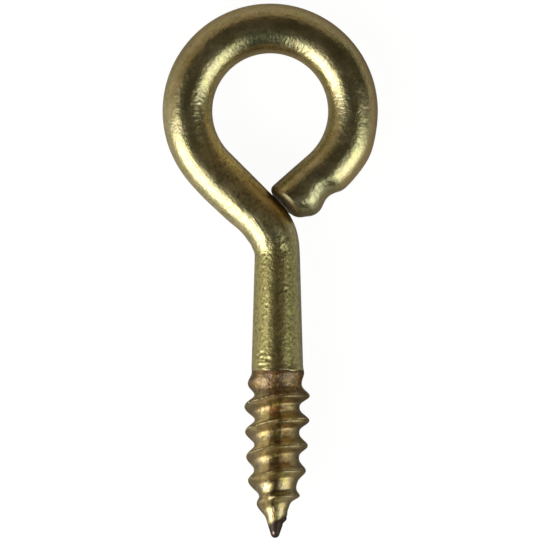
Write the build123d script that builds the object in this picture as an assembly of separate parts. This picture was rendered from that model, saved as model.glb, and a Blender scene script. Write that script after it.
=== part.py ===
from build123d import *
import os
from math import asin, atan2, cos, degrees, hypot, pi, radians, sin, tan

# A screw eye: one length of round wire. One end is bent round to an eye that stays just open, and the other
# is rolled to a wood-screw thread with a point. It is modelled in the plane of its eye, with the shank on the Y
# axis, the tip of the point at Y = 0 and the eye at the top. Then it is laid down as it rests on a table.
# Sizes are in millimetres and angles in degrees.

# The wire and the eye
wire_diameter = 2.8
eye_bore = 6.5  # clear width inside the eye
eye_offset = 0.4  # the eye's centre lies this far off the shank's axis, on the side where the leg comes down
overall_length = 30.0  # tip of the point to the top of the eye
eye_wrap_angle = 273.7  # how far round the wire follows the eye before it runs straight

# The leg from the eye to the neck
leg_angle = 45.0  # between the leg and the shank
neck_bend_radius = 2.6  # at the middle of the wire
neck_diameter = 2.54  # the wire is drawn thinner where it is bent

# The free end, sheared off beside the leg
end_gap = 0.12  # between the middle of the sheared face and the leg
end_slant_angle = 9.0  # how far the face leans back from the leg at its upper edge
end_rounding = 0.28  # rounding of the sheared edge
end_slump = 0.43  # how far the shear has dragged the outer corner in
nip_place = 0.75  # middle of the bending tool's nip, from where the wire leaves the eye's circle
nip_length = 1.9  # how much of the wire the nip touches
nip_depth = 0.27  # how far it has pressed in the outside of the wire

# The shank, the rolled thread and the point
shank_diameter = 2.9  # where the thread ends
root_diameter = 2.53  # between the ridges
thread_length = 9.6  # tip of the point to the end of the thread
thread_runout = 2.12  # the root rises to the shank over this length, and the ridge dies out
pitch_length = 1.411  # 18 turns to the inch
ridge_height = 0.58
ridge_start = 0.77  # from the tip to where the ridge rises from the point
ridge_full = 7.05  # from the tip to where the ridge has its full height
ridge_growth = 0.51  # 1 makes the ridge grow evenly between them, and less makes it grow fast at first
ridge_phase = 203.0  # where the crest's helix would cross the tip, round from the upper side
ridge_sharpness = 1.35  # 1 makes ridge and groove a plain wave, and more makes the ridge the narrower
ridge_lean_length = 0.28  # the turns of the ridge lean this far toward the eye on the upper side
point_length = 3.31
tip_radius = 0.3

# How finely the thread is drawn
slices_per_turn = 12
slices_per_span = 4
points_per_slice = 20
join_tolerance = 0.0002  # the slices are splines, this close to the true circles that they meet

wire_radius = wire_diameter / 2
shank_radius = shank_diameter / 2
root_radius = root_diameter / 2
ring_radius = (eye_bore + wire_diameter) / 2
eye_centre = Vector(-eye_offset, overall_length - wire_diameter - eye_bore / 2)
upward = Vector(0, 1, 0)


def direction(angle):
    """Unit vector in the plane of the eye, at an angle from the X axis."""
    return Vector(cos(radians(angle)), sin(radians(angle)))


# The middle of the wire comes down from the eye along the leg and turns into the shank at the neck.
leg_turn = 180 + leg_angle
leg_start = eye_centre + direction(leg_turn) * ring_radius
leg_direction = direction(leg_angle - 90)
leg_side = direction(leg_angle)
neck_corner = leg_start - leg_direction * (leg_start.X / leg_direction.X)
neck_setback = neck_bend_radius * tan(radians(leg_angle / 2))
neck_start = neck_corner - leg_direction * neck_setback
neck_end = neck_corner - upward * neck_setback

# The free end leaves the circle of the eye on the other side and runs straight to the leg.
end_turn = leg_turn - eye_wrap_angle
end_start = eye_centre + direction(end_turn) * ring_radius
end_direction = direction(end_turn - 90)
clear_of_leg = wire_radius + end_gap
end_length = ((end_start - leg_start).dot(leg_side) - clear_of_leg) / -end_direction.dot(leg_side)
nip_turn = end_turn + degrees((nip_length / 2 - nip_place) / ring_radius)

# The point is a cone that touches the ball of the tip.
point_reach = hypot(root_radius, point_length - tip_radius)
point_angle = atan2(root_radius, point_length - tip_radius) - asin(tip_radius / point_reach)
tip_height = tip_radius * (1 - sin(point_angle))


def pressed_section(centre, outward, depth, slant=0.0):
    """The wire's section with its outer side pressed in, and its upper edge leaning back by the slant."""
    middle = centre - outward * (depth / 2)
    plane = Plane(origin=middle, x_dir=outward, z_dir=outward.cross(Vector(0, 0, 1)))
    return plane * Rot(-slant, 0, 0) * Ellipse(wire_radius - depth / 2, wire_radius / cos(radians(slant)))


def eye_and_leg():
    """One round section swept from the nip, round the eye and down the leg."""
    ring = CenterArc(eye_centre, ring_radius, nip_turn, leg_turn - nip_turn)
    leg = Line(leg_start, neck_start)
    path = Wire([ring.edge(), leg.edge()])
    return sweep(Plane(origin=path @ 0, z_dir=path % 0) * Circle(wire_radius), path=path)


def free_end():
    """The last of the wire, pressed in by the bending tool and sheared off along the leg."""
    outward = direction(end_turn)
    nip_entry = eye_centre + direction(nip_turn) * ring_radius
    nip_middle = end_start + end_direction * nip_place
    nip_exit = end_start + end_direction * (nip_place + nip_length / 2)
    sheared = end_start + end_direction * end_length
    blank = loft(
        [
            pressed_section(nip_entry, direction(nip_turn), 0),
            pressed_section(nip_middle, outward, nip_depth),
            pressed_section(nip_exit, outward, 0),
            pressed_section(sheared, leg_direction, end_slump, end_slant_angle),
        ]
    )
    sheared_face = blank.faces().sort_by_distance(leg_start + leg_direction * ring_radius)[0]
    return fillet(sheared_face.edges(), end_rounding)


def neck():
    """The bend from the leg to the shank, where the wire is drawn thinner."""
    bend = RadiusArc(neck_start, neck_end, neck_bend_radius)
    sections = [
        Plane(origin=neck_start, z_dir=leg_direction) * Circle(wire_radius),
        Plane(origin=neck_end, z_dir=-upward) * Circle(neck_diameter / 2),
    ]
    return sweep(sections, path=bend, multisection=True)


def shank():
    """The plain part of the shank, from the neck to the thread."""
    top = Plane(origin=neck_end, z_dir=upward) * Circle(neck_diameter / 2)
    bottom = Plane(origin=upward * thread_length, z_dir=upward) * Circle(shank_radius)
    return loft([bottom, top])


def root_at(height):
    """Radius of the root: the cone of the point, the straight root above it, then the rise to the shank."""
    if height < point_length:
        return root_radius - (point_length - height) * tan(point_angle)
    rise = max(height - thread_length + thread_runout, 0) / thread_runout
    return root_radius + (shank_radius - root_radius) * rise


def ridge_at(height):
    """Height of the crest above the root, which is nothing at both ends of the thread."""
    growth = (height - ridge_start) / (ridge_full - ridge_start)
    decline = (thread_length - height) / thread_runout
    return ridge_height * min(max(growth, 0), 1) ** ridge_growth * min(decline, 1)


def thread_slice(height):
    """A level slice of the thread: a cam whose high side is the crest. It turns once in each pitch."""
    points = []
    for index in range(points_per_slice):
        turn = 2 * pi * index / points_per_slice
        level_height = height - ridge_lean_length * cos(turn)
        crest_turn = radians(ridge_phase) + 2 * pi * level_height / pitch_length
        wave = (1 + cos(turn - crest_turn)) / 2
        radius = root_at(height) + ridge_at(height) * wave**ridge_sharpness
        points.append((radius * sin(turn), height, radius * cos(turn)))
    shares = [index / points_per_slice for index in range(points_per_slice + 1)]
    return Face(Wire(Edge.make_spline(points, periodic=True, parameters=shares)))


def thread():
    """The rolled thread on its root and its point: lofts of a few slices each, end to end."""
    length = thread_length - tip_height
    spans = round(length / pitch_length * slices_per_turn / slices_per_span)
    steps = spans * slices_per_span
    slices = [thread_slice(tip_height + length * step / steps) for step in range(steps + 1)]
    starts = range(0, steps, slices_per_span)
    lofts = [loft(slices[start : start + slices_per_span + 1]) for start in starts]
    return lofts[0].fuse(*lofts[1:], tol=join_tolerance)


def tip():
    """The ball that ends the point, below where it meets the point's cone."""
    ball_edge = Vector(tip_radius * cos(point_angle), tip_height)
    ball_side = Vector(0, tip_radius) + direction(degrees(point_angle) / -2 - 45) * tip_radius
    ball = ThreePointArc((0, 0), ball_side, ball_edge)
    inside = Polyline(ball_edge, (0, tip_height), (0, 0))
    return revolve(make_face([ball.edge(), *inside.edges()]), Axis.Y)


def laid_down(standing):
    """The wire as it rests: its eye and the first full crest of its thread touch the table."""
    crest_radius = root_radius + ridge_height
    reach = overall_length - wire_radius - (thread_length - thread_runout)
    tilt = atan2(crest_radius, reach) - asin(wire_radius / hypot(crest_radius, reach))
    lying = Rot(-degrees(tilt), 0, 0) * standing
    box = lying.bounding_box()
    return Pos(-box.center().X, -box.center().Y, -box.min.Z) * lying


os.makedirs("parts", exist_ok=True)
wire = thread().fuse(tip(), shank(), neck(), eye_and_leg(), free_end(), tol=join_tolerance)
screw_eye = laid_down(wire)
screw_eye.label = "screw_eye"
export_step(screw_eye, "parts/screw_eye.step")
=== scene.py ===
from math import asin, atan2, cos, hypot, pi, radians, sin, tan
from types import SimpleNamespace

import bpy
import numpy as np
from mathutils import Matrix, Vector


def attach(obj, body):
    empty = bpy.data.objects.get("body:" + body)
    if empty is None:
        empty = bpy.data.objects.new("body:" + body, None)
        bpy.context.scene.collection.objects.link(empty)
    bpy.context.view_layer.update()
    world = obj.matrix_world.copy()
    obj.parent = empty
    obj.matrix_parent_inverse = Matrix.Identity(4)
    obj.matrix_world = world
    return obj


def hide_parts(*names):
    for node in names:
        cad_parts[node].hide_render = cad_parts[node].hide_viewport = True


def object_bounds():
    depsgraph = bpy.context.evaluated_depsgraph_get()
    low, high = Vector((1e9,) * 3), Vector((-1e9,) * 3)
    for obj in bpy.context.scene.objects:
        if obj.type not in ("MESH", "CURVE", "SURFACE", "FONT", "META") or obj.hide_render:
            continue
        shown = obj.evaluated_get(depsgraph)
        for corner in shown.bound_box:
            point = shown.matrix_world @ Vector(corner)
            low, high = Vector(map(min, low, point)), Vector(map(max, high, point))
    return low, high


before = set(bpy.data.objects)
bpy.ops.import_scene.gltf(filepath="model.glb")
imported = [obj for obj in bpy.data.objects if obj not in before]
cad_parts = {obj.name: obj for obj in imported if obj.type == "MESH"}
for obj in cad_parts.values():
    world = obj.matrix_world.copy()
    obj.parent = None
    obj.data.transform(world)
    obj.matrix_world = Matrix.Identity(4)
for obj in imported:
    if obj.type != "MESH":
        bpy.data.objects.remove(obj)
cad_low, cad_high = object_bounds()
middle = (cad_low + cad_high) / 2

# The screw eye once more, as one fine mesh that keeps the form of the CAD solid and carries its wear. It is
# made standing in the plane of its eye, with the tip of its point at the origin, and then laid down. Sizes
# are in millimetres and angles in degrees. The inner side of the wire is the one toward the middle of the
# eye, which on the shank is the side of positive X, and the camera sees it on the right.

# The sizes of the solid

wire_radius = 1.4
eye_bore = 6.5
eye_offset = 0.4
overall_length = 30.0
eye_wrap = 273.7
leg_angle = 45.0
neck_bend_radius = 2.6
neck_radius = 1.27
end_gap = 0.12
end_slant = 9.0
end_rounding = 0.28
end_slump = 0.43
nip_place = 0.75
nip_length = 1.9
nip_depth = 0.27
shank_radius = 1.45
root_radius = 1.265
thread_length = 9.6
thread_runout = 2.12
pitch_length = 1.411
ridge_height = 0.58
ridge_start = 0.77
ridge_full = 7.05
ridge_growth = 0.51
ridge_phase = 203.0
ridge_sharpness = 1.35
ridge_lean_length = 0.28
point_length = 3.31

# What the solid doesn't have, or has otherwise
tip_radius = 0.25
tip_bend = 0.125  # how far the tip is bent sideways
tip_bend_power = 1.6  # 1 makes the thread lean straight, and more bends it nearer the tip
slump_power = 1.5  # the same for the corner that the shear has dragged in
start_ease = 0.6  # the ridge rises gently over this length
runout_reach = 0.15  # and runs out this far past the thread's end
ridge_slip = 0.045  # the crest is pushed toward the tip on one side and toward the eye on the other
ridge_keenness = 1.1  # added to the sharpness on the upper right, where the dies have closed the ridge up
keenness_at_tip = 3.5  # at the tip that is this many times as much
keenness_length = 5.5  # and it falls to once as much over this length
keenness_reach = 0.6  # how far it reaches over the top to the upper left, as a share of the radius
shallow_share = 0.55  # taken from the ridge's height on the upper left, where the dies have left it unfilled
shallow_turn = -33.0
shallow_spread = 30.0
tooth_share = 0.4  # added to the ridge's height on both sides, where it first stands out from the point
tooth_keenness = 1.5  # and this many times ridge_keenness to its sharpness, on the right
tooth_place = 2.2
tooth_spread = 0.6
crest_wear_turn = 0.45  # radians of the ridge's wave from the crest toward the tip, where it is dulled
green_place = 32.7  # middle of the green stain and its painted shade, near the top of the ring
kink_place = 15.9  # middle of the pebbled skin where the shank turns into the neck
rim_share = 0.35  # of a dent's depth: how high the rim is that is thrown up round it
rim_place = 1.6  # in widths of the dent
rim_spread = 0.5

# How finely the mesh is drawn. Round the wire, the turn goes from the top over the inner side.
nose_slices = 9
nose_start = 0.15  # the first slice's angle round the ball of the tip, in radians
thread_step = 0.034
fine_length = 9.9  # above this the shank needs only every other slice
leg_step = 0.08
ring_step_angle = 1.0
tail_step = 0.06
COLUMNS = 112
TURN = np.linspace(0, 2 * pi, COLUMNS, endpoint=False)
SIDEWAYS = np.sin(TURN)
UPWARD = np.cos(TURN)
TURNED = (np.degrees(TURN) + 180) % 360 - 180

# Dents and pits: where along the wire, at which turn in degrees, length, width and depth. The last has a
# negative depth and stands proud: it is the burr beside the tip.
DENTS = [
    (26.05, 30, 0.12, 0.10, 0.025),
    (26.75, 14, 0.10, 0.08, 0.015),
    (25.45, 38, 0.12, 0.09, 0.020),
    (19.67, -34, 0.06, 0.26, 0.025),
    (19.45, -26, 0.14, 0.08, 0.015),
    (13.04, -27, 0.07, 0.12, 0.025),
    (13.89, 21, 0.11, 0.08, 0.025),
    (16.06, 17, 0.22, 0.16, 0.020),
    (10.36, -37, 0.10, 0.14, 0.035),
    (10.20, -50, 0.10, 0.12, 0.030),
    (10.00, -22, 0.11, 0.13, 0.035),
    (10.10, -37, 0.08, 0.10, 0.030),
    (9.66, -38, 0.10, 0.16, 0.035),
    (10.25, -60, 0.09, 0.10, 0.030),
    (10.30, -8, 0.10, 0.12, 0.015),
    (12.20, 30, 0.50, 0.12, 0.010),
    (14.70, -20, 0.70, 0.10, 0.010),
    (1.00, 78, 0.13, 0.55, -0.070),
]

# The outer side isn't quite round: where along the wire it is pressed in, over which length and how deep.
# Where the depth is negative it stands proud.
UNEVEN = [
    (16.6, 0.45, -0.050),
    (18.5, 0.70, 0.085),
    (21.2, 1.00, -0.050),
    (42.3, 0.80, -0.085),
    (44.5, 0.35, 0.050),
]


def direction(angle):
    angle = np.radians(angle)
    return np.stack([np.cos(angle), np.sin(angle)], axis=-1)


def smooth(value):
    """Rises gently from 0 to 1 while the value does."""
    value = np.clip(value, 0, 1)
    return value * value * (3 - 2 * value)


def bell(distance, spread):
    return np.exp(-((distance / spread) ** 2))


ring_radius = eye_bore / 2 + wire_radius
eye_centre = np.array([-eye_offset, overall_length - 2 * wire_radius - eye_bore / 2])
leg_turn = 180 + leg_angle
leg_start = eye_centre + direction(leg_turn) * ring_radius
leg_direction = direction(leg_angle - 90)
leg_side = direction(leg_angle)

# The neck's bend starts and ends gently. In its middle it lies as near the corner as a plain arc.
BEND_STEPS = 80
neck_corner = leg_start - leg_direction * (leg_start[0] / leg_direction[0])
bend_angle = leg_angle * smooth(np.linspace(0, 1, BEND_STEPS + 1))
bend_steps = direction((bend_angle[:-1] + bend_angle[1:]) / 2 + 90) / BEND_STEPS
bend_path = np.vstack([[0, 0], np.cumsum(bend_steps, axis=0)])
bend_setback = np.linalg.norm(bend_path[-1]) / 2 / cos(radians(leg_angle / 2))
bend_cut = np.linalg.norm(bend_path[BEND_STEPS // 2] - [0, bend_setback])
neck_length = neck_bend_radius * (1 / cos(radians(leg_angle / 2)) - 1) / bend_cut
neck_start = neck_corner - leg_direction * bend_setback * neck_length
neck_end = neck_corner - np.array([0, bend_setback * neck_length])
leg_length = float(np.linalg.norm(leg_start - neck_start))

# The wire is thinnest at its waist, where the plain arc would start.
waist = neck_corner[1] - neck_bend_radius * tan(radians(leg_angle / 2))
waist_length = radians(leg_angle) * neck_bend_radius

# The free end
end_turn = leg_turn - eye_wrap
end_start = eye_centre + direction(end_turn) * ring_radius
end_direction = direction(end_turn - 90)
end_length = ((end_start - leg_start) @ leg_side - wire_radius - end_gap) / -(end_direction @ leg_side)

# The point is a cone that touches the ball of the tip.
point_reach = hypot(root_radius, point_length - tip_radius)
point_angle = atan2(root_radius, point_length - tip_radius) - asin(tip_radius / point_reach)
tip_height = tip_radius * (1 - sin(point_angle))

# Places along the wire, from the tip of its point to the sheared end
leg_place = neck_end[1] + neck_length
ring_place = leg_place + leg_length
tail_place = ring_place + radians(eye_wrap) * ring_radius
end_place = tail_place + end_length


def ridge_share(height):
    """How much of its full height the ridge has."""
    growth = np.clip((height - ridge_start) / (ridge_full - ridge_start), 0, 1) ** ridge_growth
    growth = growth * smooth((height - ridge_start) / start_ease)
    return growth * smooth((thread_length + runout_reach - height) / thread_runout)


def thread_wave(height):
    """Shares of the ridge, of the dulled band on its crest, and of its flank, negative on the eye's side."""
    level_height = height - ridge_lean_length * UPWARD
    from_crest = TURN - radians(ridge_phase) - 2 * pi * level_height / pitch_length
    slip = 2 * pi * ridge_slip / pitch_length * SIDEWAYS * np.cos(from_crest / 2) ** 2
    keen = keenness_at_tip - (keenness_at_tip - 1) * smooth(height / keenness_length)
    keen = np.maximum(UPWARD, 0) * smooth(SIDEWAYS + keenness_reach) * keen
    tooth = bell(height - tooth_place, tooth_spread)
    keen = keen + tooth_keenness * tooth * smooth(SIDEWAYS)
    wave = ((1 + np.cos(from_crest - slip)) / 2) ** (ridge_sharpness + ridge_keenness * keen)
    wave *= 1 - shallow_share * bell(TURNED - shallow_turn, shallow_spread)
    share = ridge_share(height) * (1 + tooth_share * tooth * smooth(np.abs(SIDEWAYS)))
    return wave * share, (1 + np.cos(from_crest - crest_wear_turn)) / 2 * share, np.sin(from_crest) * share


def shank_at(height):
    """Radius of the shank, up to its waist and through the neck."""
    share = (height - thread_length) / (waist - thread_length)
    taper = (neck_radius - shank_radius) * np.clip(share, 0, 1)
    return shank_radius + taper + (wire_radius - neck_radius) * smooth((height - waist) / waist_length)


def slice_heights():
    """Where the thread and the shank have their points: along the shank only half as close."""
    nose = tip_height * (1 - np.cos(np.linspace(nose_start, pi / 2, nose_slices, endpoint=False)))
    height = np.append(nose, np.arange(tip_height, neck_end[1], thread_step))
    kept = (height < fine_length) | (np.arange(len(height)) % 2 == 0)
    return height[kept][:, None]


def thread_stretch():
    height = slice_heights()
    dome = np.sqrt(np.maximum(tip_radius**2 - (tip_radius - height) ** 2, 0))
    cone = root_radius - (point_length - height) * tan(point_angle)
    rise = smooth((height - thread_length) / thread_runout + 1)
    root = root_radius + (shank_at(height) - root_radius) * rise
    base = np.where(height < tip_height, dome, np.where(height < point_length, cone, root))
    ridge, crest, flank = thread_wave(height)
    bend = -tip_bend * np.maximum(1 - height / thread_length, 0) ** tip_bend_power
    centre = np.hstack([bend, height])
    side = np.tile([1.0, 0.0], (len(height), 1))
    return centre, side, base + ridge_height * ridge, height[:, 0], crest, flank


def round_stretch(centre, side, radius, place):
    """A stretch with round sections, each given by its middle, its inner side, its radius and its place."""
    radius = np.broadcast_to(np.reshape(radius, (-1, 1)), (len(place), COLUMNS))
    side = np.broadcast_to(side, centre.shape)
    plain = np.zeros((len(place), COLUMNS))
    return centre, side, radius, place, plain, plain


def neck_stretch():
    place = neck_end[1] + np.linspace(0, neck_length, BEND_STEPS, endpoint=False)
    centre = neck_end + bend_path[:-1] * neck_length
    return round_stretch(centre, direction(bend_angle[:-1]), shank_at(place), place)


def leg_stretch():
    along = np.arange(0, leg_length, leg_step)
    centre = neck_start - leg_direction * along[:, None]
    return round_stretch(centre, leg_side, wire_radius, leg_place + along)


def ring_stretch():
    angle = np.arange(leg_turn, end_turn, -ring_step_angle)
    centre = eye_centre + direction(angle) * ring_radius
    place = ring_place + np.radians(leg_turn - angle) * ring_radius
    return round_stretch(centre, -direction(angle), wire_radius, place)


def tail_stretch():
    """The straight last of the wire, its rounded edge, and the flat face in steps toward the middle."""
    straight = np.arange(0, end_length - end_rounding, tail_step)
    edge = np.linspace(0, pi / 2, 9)
    flat = wire_radius - end_rounding
    inward = np.array([0.85, 0.7, 0.55, 0.4, 0.25, 0.08]) * flat
    edge_along = end_length - end_rounding * (1 - np.sin(edge))
    along = np.concatenate([straight, edge_along, np.full(len(inward), end_length)])
    edge_radius = wire_radius - end_rounding * (1 - np.cos(edge))
    radius = np.concatenate([np.full(len(straight), wire_radius), edge_radius, inward])
    place = tail_place + np.concatenate([straight, edge_along, end_length + flat - inward])
    return round_stretch(end_start + end_direction * along[:, None], -direction(end_turn), radius, place)


stretches = [thread_stretch(), neck_stretch(), leg_stretch(), ring_stretch(), tail_stretch()]
centre, side, radius, place, crest, flank = [np.concatenate(parts) for parts in zip(*stretches)]
past_eye = place - tail_place
run_up = smooth((past_eye - nip_place - nip_length / 2) / (end_length - nip_place - nip_length / 2))


def dent_depth():
    """How deep the dents are at each point."""
    depth = np.zeros((len(place), COLUMNS))
    for dent_place, dent_turn, length, width, deepest in DENTS:
        across = np.radians(TURNED - dent_turn) * wire_radius
        away = np.hypot(((place - dent_place) / length)[:, None], (across / width)[None, :])
        depth += deepest * (bell(away, 1.0) - rim_share * bell(away - rim_place, rim_spread))
    return depth


def round_points():
    """The wire with its dents, before its outer side is pressed in."""
    outward = np.zeros((len(place), COLUMNS, 3))
    outward[..., :2] = SIDEWAYS[None, :, None] * side[:, None, :]
    outward[..., 2] = UPWARD
    points = outward * (radius - dent_depth())[..., None]
    points[..., :2] += centre[:, None, :]
    return points


def pressed_in(points):
    """The bending tool's nip, the corner that the shear has dragged, and the uneven outer side."""
    depth = nip_depth * np.cos(np.clip((past_eye - nip_place) / nip_length, -0.5, 0.5) * pi) ** 2
    for uneven_place, length, deepest in UNEVEN:
        depth += deepest * bell(place - uneven_place, length)
    depth += end_slump * run_up**slump_power
    points[..., :2] += (depth[:, None] * (1 - SIDEWAYS) / 2)[..., None] * side[:, None, :]
    return points


def sheared(points):
    """The sheared face leans, and the last of the wire runs up to it."""
    forward = np.array([*end_direction, 0.0])
    face_centre = np.array([*(end_start + end_direction * end_length), 0.0])
    face_normal = np.array([*(-leg_side * cos(radians(end_slant))), sin(radians(end_slant))])
    flattened = points - np.outer(np.minimum(past_eye, end_length) - end_length, forward)[:, None, :]
    overrun = (flattened - face_centre) @ face_normal / (forward @ face_normal)
    return points - (run_up[:, None] * overrun)[..., None] * forward


def laid_down(points):
    """In metres, lying with its eye and the first full crest of its thread on the floor."""
    crest_radius = root_radius + ridge_height
    reach = overall_length - wire_radius - (thread_length - thread_runout)
    tilt = atan2(crest_radius, reach) - asin(wire_radius / hypot(crest_radius, reach))
    across = points[..., 0] + eye_offset
    lengthways = points[..., 1] * cos(tilt) + points[..., 2] * sin(tilt)
    upward = points[..., 2] * cos(tilt) - points[..., 1] * sin(tilt)
    lying = np.stack([across, lengthways, upward], axis=-1).reshape(-1, 3) / 1000
    lying[:, 0] += middle.x
    lying[:, 1] += cad_high.y - lying[:, 1].max()
    lying[:, 2] -= lying[:, 2].min()
    return lying


def skin_faces(count):
    """Quads between the sections, and a fan at each end, round the two vertices that come last.

    They all look inward, which turns the bump's heights into depths.
    """
    corner = np.arange((count - 1) * COLUMNS).reshape(count - 1, COLUMNS)
    after = np.roll(corner, -1, axis=1)
    quads = np.stack([corner, corner + COLUMNS, after + COLUMNS, after], axis=-1).reshape(-1, 4)
    tip = count * COLUMNS
    last = tip - COLUMNS
    fans = [(tip, column, (column + 1) % COLUMNS) for column in range(COLUMNS)]
    fans += [(tip + 1, last + (column + 1) % COLUMNS, last + column) for column in range(COLUMNS)]
    return quads.tolist() + fans


def straight_places(count):
    """For each vertex, where it would be on the wire if that were straight and even."""
    straight = np.zeros((count * COLUMNS + 2, 3))
    straight[:-2, 0] = np.repeat(place, COLUMNS)
    straight[:-2, 1] = np.tile(wire_radius * SIDEWAYS, count)
    straight[:-2, 2] = np.tile(wire_radius * UPWARD, count)
    straight[-1, 0] = place[-1]
    return straight


def wire_skin():
    count = len(place)
    lying = laid_down(sheared(pressed_in(round_points())))
    vertices = np.vstack([lying, lying[:COLUMNS].mean(axis=0), lying[-COLUMNS:].mean(axis=0)])
    mesh = bpy.data.meshes.new("wire_skin")
    mesh.from_pydata(vertices.tolist(), [], skin_faces(count))
    mesh.polygons.foreach_set("use_smooth", [True] * len(mesh.polygons))
    straight = mesh.attributes.new("straight", "FLOAT_VECTOR", "POINT")
    straight.data.foreach_set("vector", straight_places(count).ravel())
    for name, values in (("crest", crest), ("flank", flank)):
        attribute = mesh.attributes.new(name, "FLOAT", "POINT")
        attribute.data.foreach_set("value", np.append(values.ravel(), [0, 0]))
    mesh.update()
    made = bpy.data.objects.new("wire_skin", mesh)
    bpy.context.collection.objects.link(made)
    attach(made, "root")
    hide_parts("screw_eye")
    return made


def opaque(colour):
    return (*colour, 1) if isinstance(colour, tuple) else colour


class Nodes:
    """A material. Its methods add nodes to it and hand on the output that the next one needs."""

    def __init__(self, name):
        self.material = bpy.data.materials.new(name)
        self.material.use_nodes = True
        self.tree = self.material.node_tree
        self.shader = self.tree.nodes["Principled BSDF"]

    def add(self, kind, inputs, **settings):
        made = self.tree.nodes.new("ShaderNode" + kind)
        for name, value in settings.items():
            setattr(made, name, value)
        for key, value in inputs.items():
            if isinstance(value, bpy.types.NodeSocket):
                self.tree.links.new(value, made.inputs[key])
            else:
                made.inputs[key].default_value = value
        return made

    def attribute(self, name, output="Fac"):
        return self.add("Attribute", {}, attribute_name=name).outputs[output]

    def calculate(self, operation, *values):
        return self.add("Math", dict(enumerate(values)), operation=operation).outputs[0]

    def product(self, first, *others):
        for other in others:
            first = self.calculate("MULTIPLY", first, other)
        return first

    def total(self, first, *others):
        for other in others:
            first = self.calculate("ADD", first, other)
        return first

    def raised(self, value, share, amount):
        """The value, and the amount more where the share is 1."""
        return self.calculate("MULTIPLY_ADD", share, amount, value)

    def distance(self, value, level):
        return self.calculate("ABSOLUTE", self.calculate("ADD", value, -level))

    def stretched(self, vector, factors):
        return self.add("VectorMath", {0: vector, 1: factors}, operation="MULTIPLY").outputs[0]

    def noise(self, vector, scale, detail=2.0, roughness=0.5):
        inputs = {"Vector": vector, "Scale": scale, "Detail": detail, "Roughness": roughness}
        return self.add("TexNoise", inputs).outputs[0]

    def ramp(self, value, low, high, start=0.0, stop=1.0):
        """Goes gently from start to stop while the value goes from low to high, which may be the lesser."""
        inputs = {"Value": value, "From Min": low, "From Max": high, "To Min": start, "To Max": stop}
        return self.add("MapRange", inputs, interpolation_type="SMOOTHSTEP").outputs[0]

    def mixed(self, share, first, second):
        inputs = {0: share, 6: opaque(first), 7: opaque(second)}
        return self.add("Mix", inputs, data_type="RGBA").outputs[2]

    def painted(self, colour, layers):
        """Lays the layers' colours over the first, one after the other, each as far as its share says."""
        for share, layer in layers:
            colour = self.mixed(share, colour, layer)
        return colour

    def drive(self, name, output):
        self.tree.links.new(output, self.shader.inputs[name])


def wire_places(nodes):
    """Where on the wire a point is, and the noises that its looks have in common."""
    on = SimpleNamespace()
    on.straight = nodes.attribute("straight", "Vector")
    parts = nodes.add("SeparateXYZ", {0: on.straight})
    on.along = parts.outputs[0]
    on.sideways = parts.outputs[1]  # from -1.4 on the outer side to 1.4 on the inner side
    on.from_green = nodes.distance(on.along, green_place)
    on.crest = nodes.calculate("DIVIDE", nodes.attribute("crest"), nodes.ramp(on.along, 0.0, 6.0, 0.35, 1.0))
    on.flank = nodes.attribute("flank")
    on.wavy = nodes.noise(on.straight, 1.6)
    on.cloud = nodes.noise(on.straight, 0.9, 3.0, 0.6)
    on.speck = nodes.noise(on.straight, 4.0, 3.0, 0.6)
    on.blotch = nodes.noise(on.straight, 2.4, 3.0, 0.65)
    on.drawn = nodes.noise(nodes.stretched(on.straight, (0.12, 1.0, 1.0)), 5.0, 3.0, 0.6)
    return on


def add_zones(nodes, on):
    """The rolled part below the die's mark, its scorched top, the shank, the ring, the cut and the tip."""
    edge = nodes.raised(on.along, on.wavy, 0.3)
    on.rolled = nodes.ramp(edge, 9.62, 9.52)
    on.scorched = nodes.product(on.rolled, nodes.ramp(edge, 7.6, 8.5))
    on.shank = nodes.product(nodes.ramp(edge, 9.5, 9.8), nodes.ramp(on.along, 17.0, 15.5))
    on.ring = nodes.ramp(on.along, 21.0, 25.0)
    on.cut = nodes.ramp(on.along, end_place - 0.3, end_place - 0.1)
    on.tip = nodes.ramp(nodes.raised(edge, on.sideways, -0.22), 1.3, 1.0)


def add_rims(nodes, on):
    """The thread's rim on the inner side, and two rims of the ring at its top, all darker with painted shade.
    """
    # painted shade: the rims are darkened in colour, standing in for the shade that they reflect
    on.thread_rim = nodes.product(on.rolled, nodes.ramp(on.sideways, 0.75, 1.3))
    painted_shade_outer_rim = nodes.ramp(on.sideways, -0.75, -1.25)
    painted_shade_outer_rim = nodes.product(painted_shade_outer_rim, nodes.ramp(on.along, 26.0, 28.5, 0.0, 0.8))
    painted_shade_inner_rim = nodes.ramp(on.sideways, 0.8, 1.25)
    painted_shade_inner_rim = nodes.product(painted_shade_inner_rim, nodes.ramp(on.from_green, 3.5, 1.5, 0.0, 0.8))
    on.dark_rim = nodes.calculate("MAXIMUM", painted_shade_outer_rim, painted_shade_inner_rim)


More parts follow.
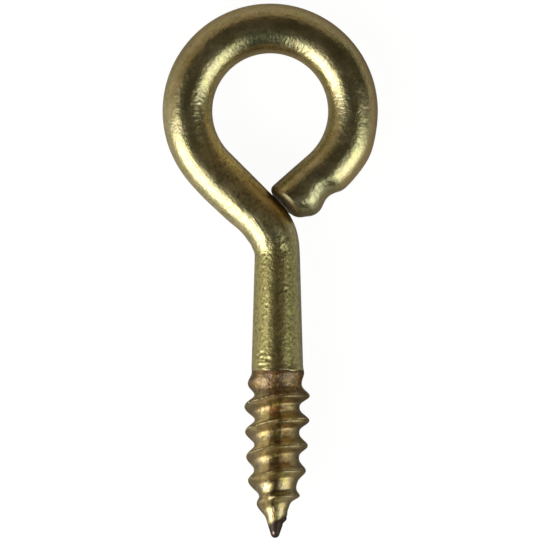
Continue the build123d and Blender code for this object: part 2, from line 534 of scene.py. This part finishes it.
def add_marks(nodes, on):
    """The crest's dulled part and its broken bright line, and a scratch along the neck."""
    # It is dulled on the outer half of the wire, and near the tip on less than that.
    dull_edge = nodes.total(on.sideways, nodes.ramp(on.along, 3.4, 2.7, 0.0, 0.5))
    dull_crest = nodes.product(nodes.ramp(on.crest, 0.45, 0.75), nodes.ramp(dull_edge, 0.15, -0.15))
    on.dull_crest = nodes.product(dull_crest, nodes.ramp(on.along, 1.3, 1.8))
    bright_line = nodes.ramp(nodes.distance(on.flank, -0.3), 0.22, 0.05)
    bright_line = nodes.product(bright_line, nodes.ramp(on.crest, 0.65, 0.8))
    bright_line = nodes.product(bright_line, nodes.ramp(on.blotch, 0.46, 0.58, 0.0, 0.9))
    on.bright_line = nodes.product(bright_line, nodes.ramp(on.along, 2.2, 3.0))
    from_line = nodes.total(nodes.calculate("MULTIPLY_ADD", on.along, -0.09, 1.94), on.sideways)
    from_line = nodes.calculate("ABSOLUTE", nodes.raised(from_line, on.wavy, 0.12))
    scratch = nodes.product(nodes.ramp(on.along, 16.2, 16.5), nodes.ramp(on.along, 18.6, 18.1))
    on.scratch = nodes.product(scratch, nodes.ramp(from_line, 0.07, 0.02))


def plate_layers(nodes, on):
    """Colours of the plate on the shank, the leg and the ring, with painted shade on rims and at the ring's
    top, and painted light on the leg.
    """
    ramp = nodes.ramp
    pale = ramp(on.cloud, 0.35, 0.65)
    greenish = ramp(on.wavy, 0.5, 0.7, 0.0, 0.6)
    # painted shade: the ring's inner rim is made browner and a little darker
    painted_shade_inner_rim = nodes.product(ramp(on.sideways, 0.8, 1.3), ramp(on.ring, 0.0, 1.0, 0.0, 0.6))
    # a green stain near the ring's top, darker than the plate, which also paints the shade between its two
    # highlights
    green_stain_and_shade = nodes.product(ramp(on.from_green, 2.0, 0.8), ramp(on.sideways, 0.1, 0.4))
    green_stain_and_shade = nodes.product(green_stain_and_shade, ramp(on.sideways, 1.15, 0.85, 0.0, 0.65))
    # painted shade: the shank's inner rim is darker and greyer
    painted_shade_shank_rim = nodes.product(ramp(on.sideways, 0.8, 1.3, 0.0, 0.6), on.shank)
    # painted light: the leg's top and inner side are made much paler, standing in for light they reflect
    painted_light_leg = nodes.product(ramp(on.sideways, -0.4, 0.6), ramp(on.along, 17.0, 18.5))
    painted_light_leg = nodes.product(painted_light_leg, ramp(on.along, 26.0, 22.0))
    return [
        (pale, (0.5, 0.425, 0.225)),
        (greenish, (0.31, 0.335, 0.17)),
        (on.shank, (0.42, 0.385, 0.135)),
        (painted_shade_inner_rim, (0.44, 0.32, 0.08)),
        (green_stain_and_shade, (0.19, 0.23, 0.11)),
        (on.dark_rim, (0.29, 0.2, 0.08)),
        (painted_shade_shank_rim, (0.25, 0.24, 0.15)),
        (painted_light_leg, (0.76, 0.61, 0.25)),
    ]


def stain_layers(nodes, on):
    """Stains and wear on the plate, and painted shade beside the shank's highlight."""
    ramp = nodes.ramp
    tail = ramp(on.along, tail_place - 0.6, tail_place + 0.4)
    tail = nodes.product(tail, ramp(on.speck, 0.4, 0.6, 0.35, 0.8), ramp(on.sideways, 0.2, -0.5))
    specks = ramp(on.speck, 0.5, 0.7, 0.0, 0.5)
    # rust-brown streaks down the shank's middle, partly painted shade that darkens the inner edge of its
    # highlight
    rust_and_painted_shade = nodes.product(ramp(on.sideways, -0.65, -0.05), ramp(on.sideways, 0.7, 0.25), on.shank)
    rust_and_painted_shade = nodes.product(rust_and_painted_shade, ramp(on.drawn, 0.35, 0.6, 0.0, 0.8))
    mottled = nodes.raised(ramp(on.ring, 1.0, 0.0, 0.25, 0.65), on.shank, 0.2)
    mottle = nodes.product(ramp(nodes.noise(on.straight, 5.5, 2.0, 0.6), 0.55, 0.35), mottled)
    rubbed = nodes.product(ramp(on.sideways, 0.3, 1.0), ramp(on.along, 16.8, 17.6))
    rubbed = nodes.product(rubbed, ramp(on.along, 21.5, 19.0, 0.0, 0.8))
    return [
        (tail, (0.14, 0.15, 0.07)),
        (specks, (0.25, 0.17, 0.08)),
        (rust_and_painted_shade, (0.3, 0.17, 0.07)),
        (mottle, (0.2, 0.17, 0.07)),
        (rubbed, (0.62, 0.43, 0.13)),
        (nodes.product(on.scratch, 0.6), (0.12, 0.1, 0.04)),
    ]


def rolled_layers(nodes, on):
    """Colours of the rolled part, which is more golden: its point, its flanks, with painted light on the
    eye's side, and the strip on its top.
    """
    ramp = nodes.ramp
    streaks = ramp(on.drawn, 0.35, 0.65)
    point = ramp(on.along, 4.6, 3.6, 0.0, 0.8)
    specks = ramp(on.speck, 0.48, 0.62, 0.0, 0.45)
    pits = ramp(nodes.noise(on.straight, 6.0, 2.0, 0.6), 0.5, 0.38, 0.0, 0.6)
    inner_half = ramp(on.sideways, 0.0, 0.8, 0.0, 0.5)
    below = nodes.product(ramp(on.flank, 0.15, 0.8), ramp(on.blotch, 0.35, 0.55, 0.4, 1.0))
    below = nodes.product(below, ramp(on.along, 3.0, 4.5, 0.3, 1.0))
    # painted light: the flanks on the eye's side are made paler, where they lie in shade
    above = nodes.product(ramp(on.flank, -0.1, -0.7, 0.0, 0.8), ramp(on.along, 3.0, 4.4))
    strip = nodes.product(ramp(on.sideways, -0.52, -0.36), ramp(on.sideways, 0.35, 0.1))
    strip = nodes.product(strip, ramp(on.along, 1.0, 3.0, 0.5, 0.92))
    return [
        (streaks, (0.59, 0.49, 0.26)),
        (point, (0.38, 0.33, 0.2)),
        (specks, (0.22, 0.15, 0.06)),
        (below, (0.36, 0.23, 0.08)),
        (pits, (0.14, 0.085, 0.03)),
        (above, (0.8, 0.64, 0.3)),
        (inner_half, (0.31, 0.23, 0.1)),
        (strip, (0.14, 0.09, 0.028)),
    ]


def tarnish_layers(nodes, on):
    """Tarnish and wear on the rolled part, painted shade on its rims, and its scorched top."""
    ramp = nodes.ramp
    olive = ramp(nodes.noise(on.straight, 1.9, 2.0, 0.6), 0.5, 0.62, 0.0, 0.6)
    # painted shade: the thread's outer rim is darker and greyer
    painted_shade_outer_rim = ramp(on.sideways, -0.85, -1.3, 0.0, 0.65)
    red = nodes.product(ramp(on.cloud, 0.48, 0.6), ramp(on.crest, 0.5, 0.2))
    red = nodes.product(red, ramp(on.along, 2.8, 3.8, 0.0, 0.75), ramp(on.speck, 0.42, 0.58, 0.3, 1.0))
    dulled = nodes.product(on.dull_crest, ramp(on.blotch, 0.38, 0.58, 0.62, 0.95))
    burnt = nodes.mixed(ramp(on.blotch, 0.4, 0.6), (0.1, 0.055, 0.028), (0.23, 0.14, 0.05))
    return [
        (olive, (0.43, 0.34, 0.07)),
        (red, (0.32, 0.13, 0.04)),
        (nodes.product(on.thread_rim, 0.75), (0.08, 0.065, 0.05)),
        (dulled, (0.15, 0.1, 0.03)),
        (painted_shade_outer_rim, (0.15, 0.125, 0.09)),
        (on.bright_line, (0.85, 0.74, 0.42)),
        (nodes.product(on.scorched, 0.85), burnt),
    ]


def wire_colour(nodes, on):
    """The plate and the rolled part together, with the cut end, the dark tip and a painted glint on the tip.
    """
    plate = nodes.painted((0.4, 0.36, 0.155), plate_layers(nodes, on) + stain_layers(nodes, on))
    thread = nodes.painted((0.39, 0.3, 0.135), rolled_layers(nodes, on) + tarnish_layers(nodes, on))
    # painted highlight: a lighter spot in the tip's colour that stands in for a glint
    inputs = {0: nodes.stretched(on.straight, (1.0, 0.3, 0.3)), 1: (0.29, -0.15, 0.39)}
    from_glint = nodes.add("VectorMath", inputs, operation="DISTANCE").outputs[1]
    glint = nodes.ramp(from_glint, 0.1, 0.05, 0.0, 0.8)
    layers = [
        (on.rolled, thread),
        (on.cut, (0.17, 0.125, 0.055)),
        (on.tip, (0.035, 0.018, 0.013)),
        (glint, (0.5, 0.33, 0.27)),
    ]
    return nodes.painted(plate, layers)


def wire_roughness(nodes, on):
    rough = nodes.ramp(on.cloud, 0.3, 0.7, 0.22, 0.3)
    rough = nodes.total(rough, nodes.ramp(on.speck, 0.45, 0.75, 0.0, 0.08))
    rough = nodes.total(rough, nodes.ramp(on.along, 25.0, 20.0, 0.03, 0.06))
    rough = nodes.raised(rough, on.rolled, nodes.ramp(on.along, 3.0, 5.0, 0.0, 0.11))
    zones = [
        (on.shank, 0.06),
        (on.scorched, 0.05),
        (on.dull_crest, 0.26),
        (on.bright_line, -0.2),
        (on.cut, 0.3),
        (on.tip, 0.2),
    ]
    for zone, amount in zones:
        rough = nodes.raised(rough, zone, amount)
    return rough


def wire_lacquer(nodes, on):
    """The clear coat, which is worn off where the wire was rolled or cut, and thinner at the tip and on the
    rims with painted shade.
    """
    lacquer = nodes.calculate("MULTIPLY_ADD", nodes.calculate("MAXIMUM", on.rolled, on.cut), -0.35, 0.85)
    lacquer = nodes.raised(lacquer, nodes.calculate("MAXIMUM", on.tip, on.thread_rim), -0.3)
    lacquer = nodes.raised(lacquer, on.dull_crest, -0.4)
    return nodes.raised(lacquer, on.dark_rim, -0.35)


def wire_relief(nodes, on):
    """Depth of the surface: grain and drawn lines everywhere, and wrinkles across the bent ring.

    The bump is given it as a height, and reads it the other way round because the skin's faces look inward.
    """
    ramp = nodes.ramp
    grain = nodes.noise(on.straight, 4.6, 1.0, 0.5)
    grit = nodes.noise(on.straight, 9.0, 1.0, 0.5)
    pebble = nodes.noise(on.straight, 5.0, 1.0, 0.5)
    lump = nodes.calculate("SUBTRACT", nodes.noise(on.straight, 2.6, 1.5, 0.5), 0.5)
    wrinkle = nodes.noise(nodes.stretched(on.straight, (1.0, 0.35, 0.35)), 5.5, 1.5, 0.55)

    coarse = nodes.product(on.ring, ramp(on.cloud, 0.4, 0.6, 0.6, 1.0))
    grain_depth = nodes.calculate("MULTIPLY_ADD", coarse, 0.012, 0.0055)
    wrinkle_depth = nodes.product(coarse, 0.015)
    grit_depth = nodes.calculate("MULTIPLY_ADD", on.shank, 0.002, 0.0025)
    grit_depth = nodes.raised(grit_depth, on.rolled, ramp(on.along, 2.5, 4.5, 0.004, 0.016))
    pebble_depth = nodes.raised(ramp(on.ring, 1.0, 0.0, 0.0, 0.01), on.shank, 0.005)
    pebble_depth = nodes.total(pebble_depth, ramp(nodes.distance(on.along, kink_place), 1.3, 0.3, 0.0, 0.022))
    lump_depth = nodes.product(on.rolled, ramp(on.along, 3.5, 8.5, 0.005, 0.07))
    step = nodes.product(on.rolled, ramp(on.sideways, -0.2, 0.2, 0.0, 0.015))

    relief = nodes.total(nodes.product(grain, grain_depth), nodes.product(wrinkle, wrinkle_depth))
    relief = nodes.total(relief, nodes.product(on.drawn, 0.008), nodes.product(grit, grit_depth))
    relief = nodes.raised(relief, pebble, pebble_depth)
    relief = nodes.total(nodes.raised(relief, lump, lump_depth), step)
    return nodes.raised(relief, on.scratch, -0.02)


def brass():
    nodes = Nodes("worn_brass")
    on = wire_places(nodes)
    add_zones(nodes, on)
    add_rims(nodes, on)
    add_marks(nodes, on)
    nodes.drive("Base Color", wire_colour(nodes, on))
    nodes.drive("Roughness", wire_roughness(nodes, on))
    nodes.drive("Coat Weight", wire_lacquer(nodes, on))
    inputs = {"Strength": 1.0, "Distance": 0.001, "Height": wire_relief(nodes, on)}
    bump = nodes.add("Bump", inputs).outputs[0]
    nodes.drive("Normal", bump)
    nodes.drive("Coat Normal", bump)
    nodes.shader.inputs["Metallic"].default_value = 1.0
    nodes.shader.inputs["Specular Tint"].default_value = (0.6, 0.52, 0.4, 1)
    nodes.shader.inputs["Coat IOR"].default_value = 1.6
    nodes.shader.inputs["Coat Roughness"].default_value = 0.24
    return nodes.material


def paper():
    """The camera sees it white, with a faint shadow, and so in part do the rays that metal mirrors."""
    nodes = Nodes("white_paper")
    nodes.shader.inputs["Base Color"].default_value = (0.78, 0.75, 0.68, 1)
    nodes.shader.inputs["Roughness"].default_value = 0.9
    nodes.shader.inputs["Specular IOR Level"].default_value = 0.0
    ray = nodes.add("LightPath", {})
    mirrored = nodes.calculate("MAXIMUM", ray.outputs["Is Glossy Ray"], ray.outputs["Is Transmission Ray"])
    seen = nodes.product(ray.outputs["Is Camera Ray"], 0.85)
    white_share = nodes.raised(seen, mirrored, 0.06)
    white = nodes.add("Emission", {"Color": (1, 1, 1, 1), "Strength": 1.12})
    look = nodes.add("MixShader", {0: white_share, 1: nodes.shader.outputs[0], 2: white.outputs[0]})
    nodes.tree.links.new(look.outputs[0], nodes.tree.nodes["Material Output"].inputs["Surface"])
    return nodes.material


def lay_floor():
    """A round sheet, in metres, whose edge curls up: its profile is the distance out and the height."""
    spokes = 96
    profile = [(0.9, 0.0), (1.1, 0.02), (1.2, 0.09), (1.22, 0.24)]
    turn = np.linspace(0, 2 * pi, spokes, endpoint=False)
    circle = np.stack([np.cos(turn), np.sin(turn), np.zeros(spokes)], axis=-1)
    rings = [circle * out + [0, 0, up] for out, up in profile]
    corner = np.arange((len(profile) - 1) * spokes).reshape(-1, spokes)
    after = np.roll(corner, -1, axis=1)
    quads = np.stack([corner, corner + spokes, after + spokes, after], axis=-1).reshape(-1, 4)
    mesh = bpy.data.meshes.new("floor")
    mesh.from_pydata(np.concatenate(rings).tolist(), [], [list(range(spokes))] + quads.tolist())
    mesh.materials.append(paper())
    floor = bpy.data.objects.new("floor", mesh)
    bpy.context.collection.objects.link(floor)


# A softbox is brightest in its middle: three sheets, the larger behind, each with its share of the size and
# the light. A sheet is given by where it stands, its width and height, its radiance and its colour, with
# lengths in metres.
SHEETS = ((1.3, 0.2), (1.0, 0.35), (0.7, 0.45))
SHEET_SPACING = 0.02
WARM = (1.0, 0.79, 0.52)


def sheet(name, azimuth, elevation, distance, width, height, radiance, colour):
    lamp = bpy.data.lights.new(name, "AREA")
    lamp.shape = "RECTANGLE"
    lamp.size = width
    lamp.size_y = height
    lamp.energy = radiance * pi * width * height
    lamp.color = colour
    holder = bpy.data.objects.new(name, lamp)
    bpy.context.collection.objects.link(holder)
    across = Vector((cos(radians(azimuth)), sin(radians(azimuth)), 0)) * cos(radians(elevation))
    away = across + Vector((0, 0, sin(radians(elevation))))
    holder.location = middle + away * distance
    holder.rotation_euler = away.to_track_quat("Z", "Y").to_euler()
    holder.visible_camera = False


def softbox(name, azimuth, elevation, distance, width, height, radiance, colour):
    for size, share in SHEETS:
        away = distance + SHEET_SPACING * size
        sheet(name, azimuth, elevation, away, width * size, height * size, radiance * share, colour)


wire_skin().data.materials.append(brass())
lay_floor()
softbox("softbox_left", 213, 25, 0.6, 0.54, 0.6, 5.4, (0.98, 1.0, 0.95))
softbox("softbox_right", -31, 30, 0.6, 0.46, 0.6, 2.8, (0.94, 1.0, 0.93))
sheet("card_left", 150, 19, 0.7, 0.85, 0.55, 0.33, WARM)
sheet("card_far", 85, 16, 0.7, 0.95, 0.45, 0.31, WARM)

world = bpy.data.worlds.new("studio")
world.use_nodes = True
world.node_tree.nodes["Background"].inputs["Color"].default_value = (1.0, 0.82, 0.6, 1)
world.node_tree.nodes["Background"].inputs["Strength"].default_value = 0.055
bpy.context.scene.world = world
bpy.context.scene.view_settings.view_transform = "Standard"

# The camera looks straight down from well above. These lengths are in metres.
camera_height = 0.25
view_width = 0.030294  # of what it sees at the middle of the object
camera_shift = (-0.000011, 0.00002)
camera_data = bpy.data.cameras.new("camera")
camera_data.sensor_width = 36
camera_data.lens = camera_data.sensor_width * (camera_height - middle.z) / view_width
camera_data.clip_start = 0.01
camera_data.clip_end = 10
camera = bpy.data.objects.new("camera", camera_data)
bpy.context.collection.objects.link(camera)
camera.location = (middle.x + camera_shift[0], middle.y + camera_shift[1], camera_height)
bpy.context.scene.camera = camera
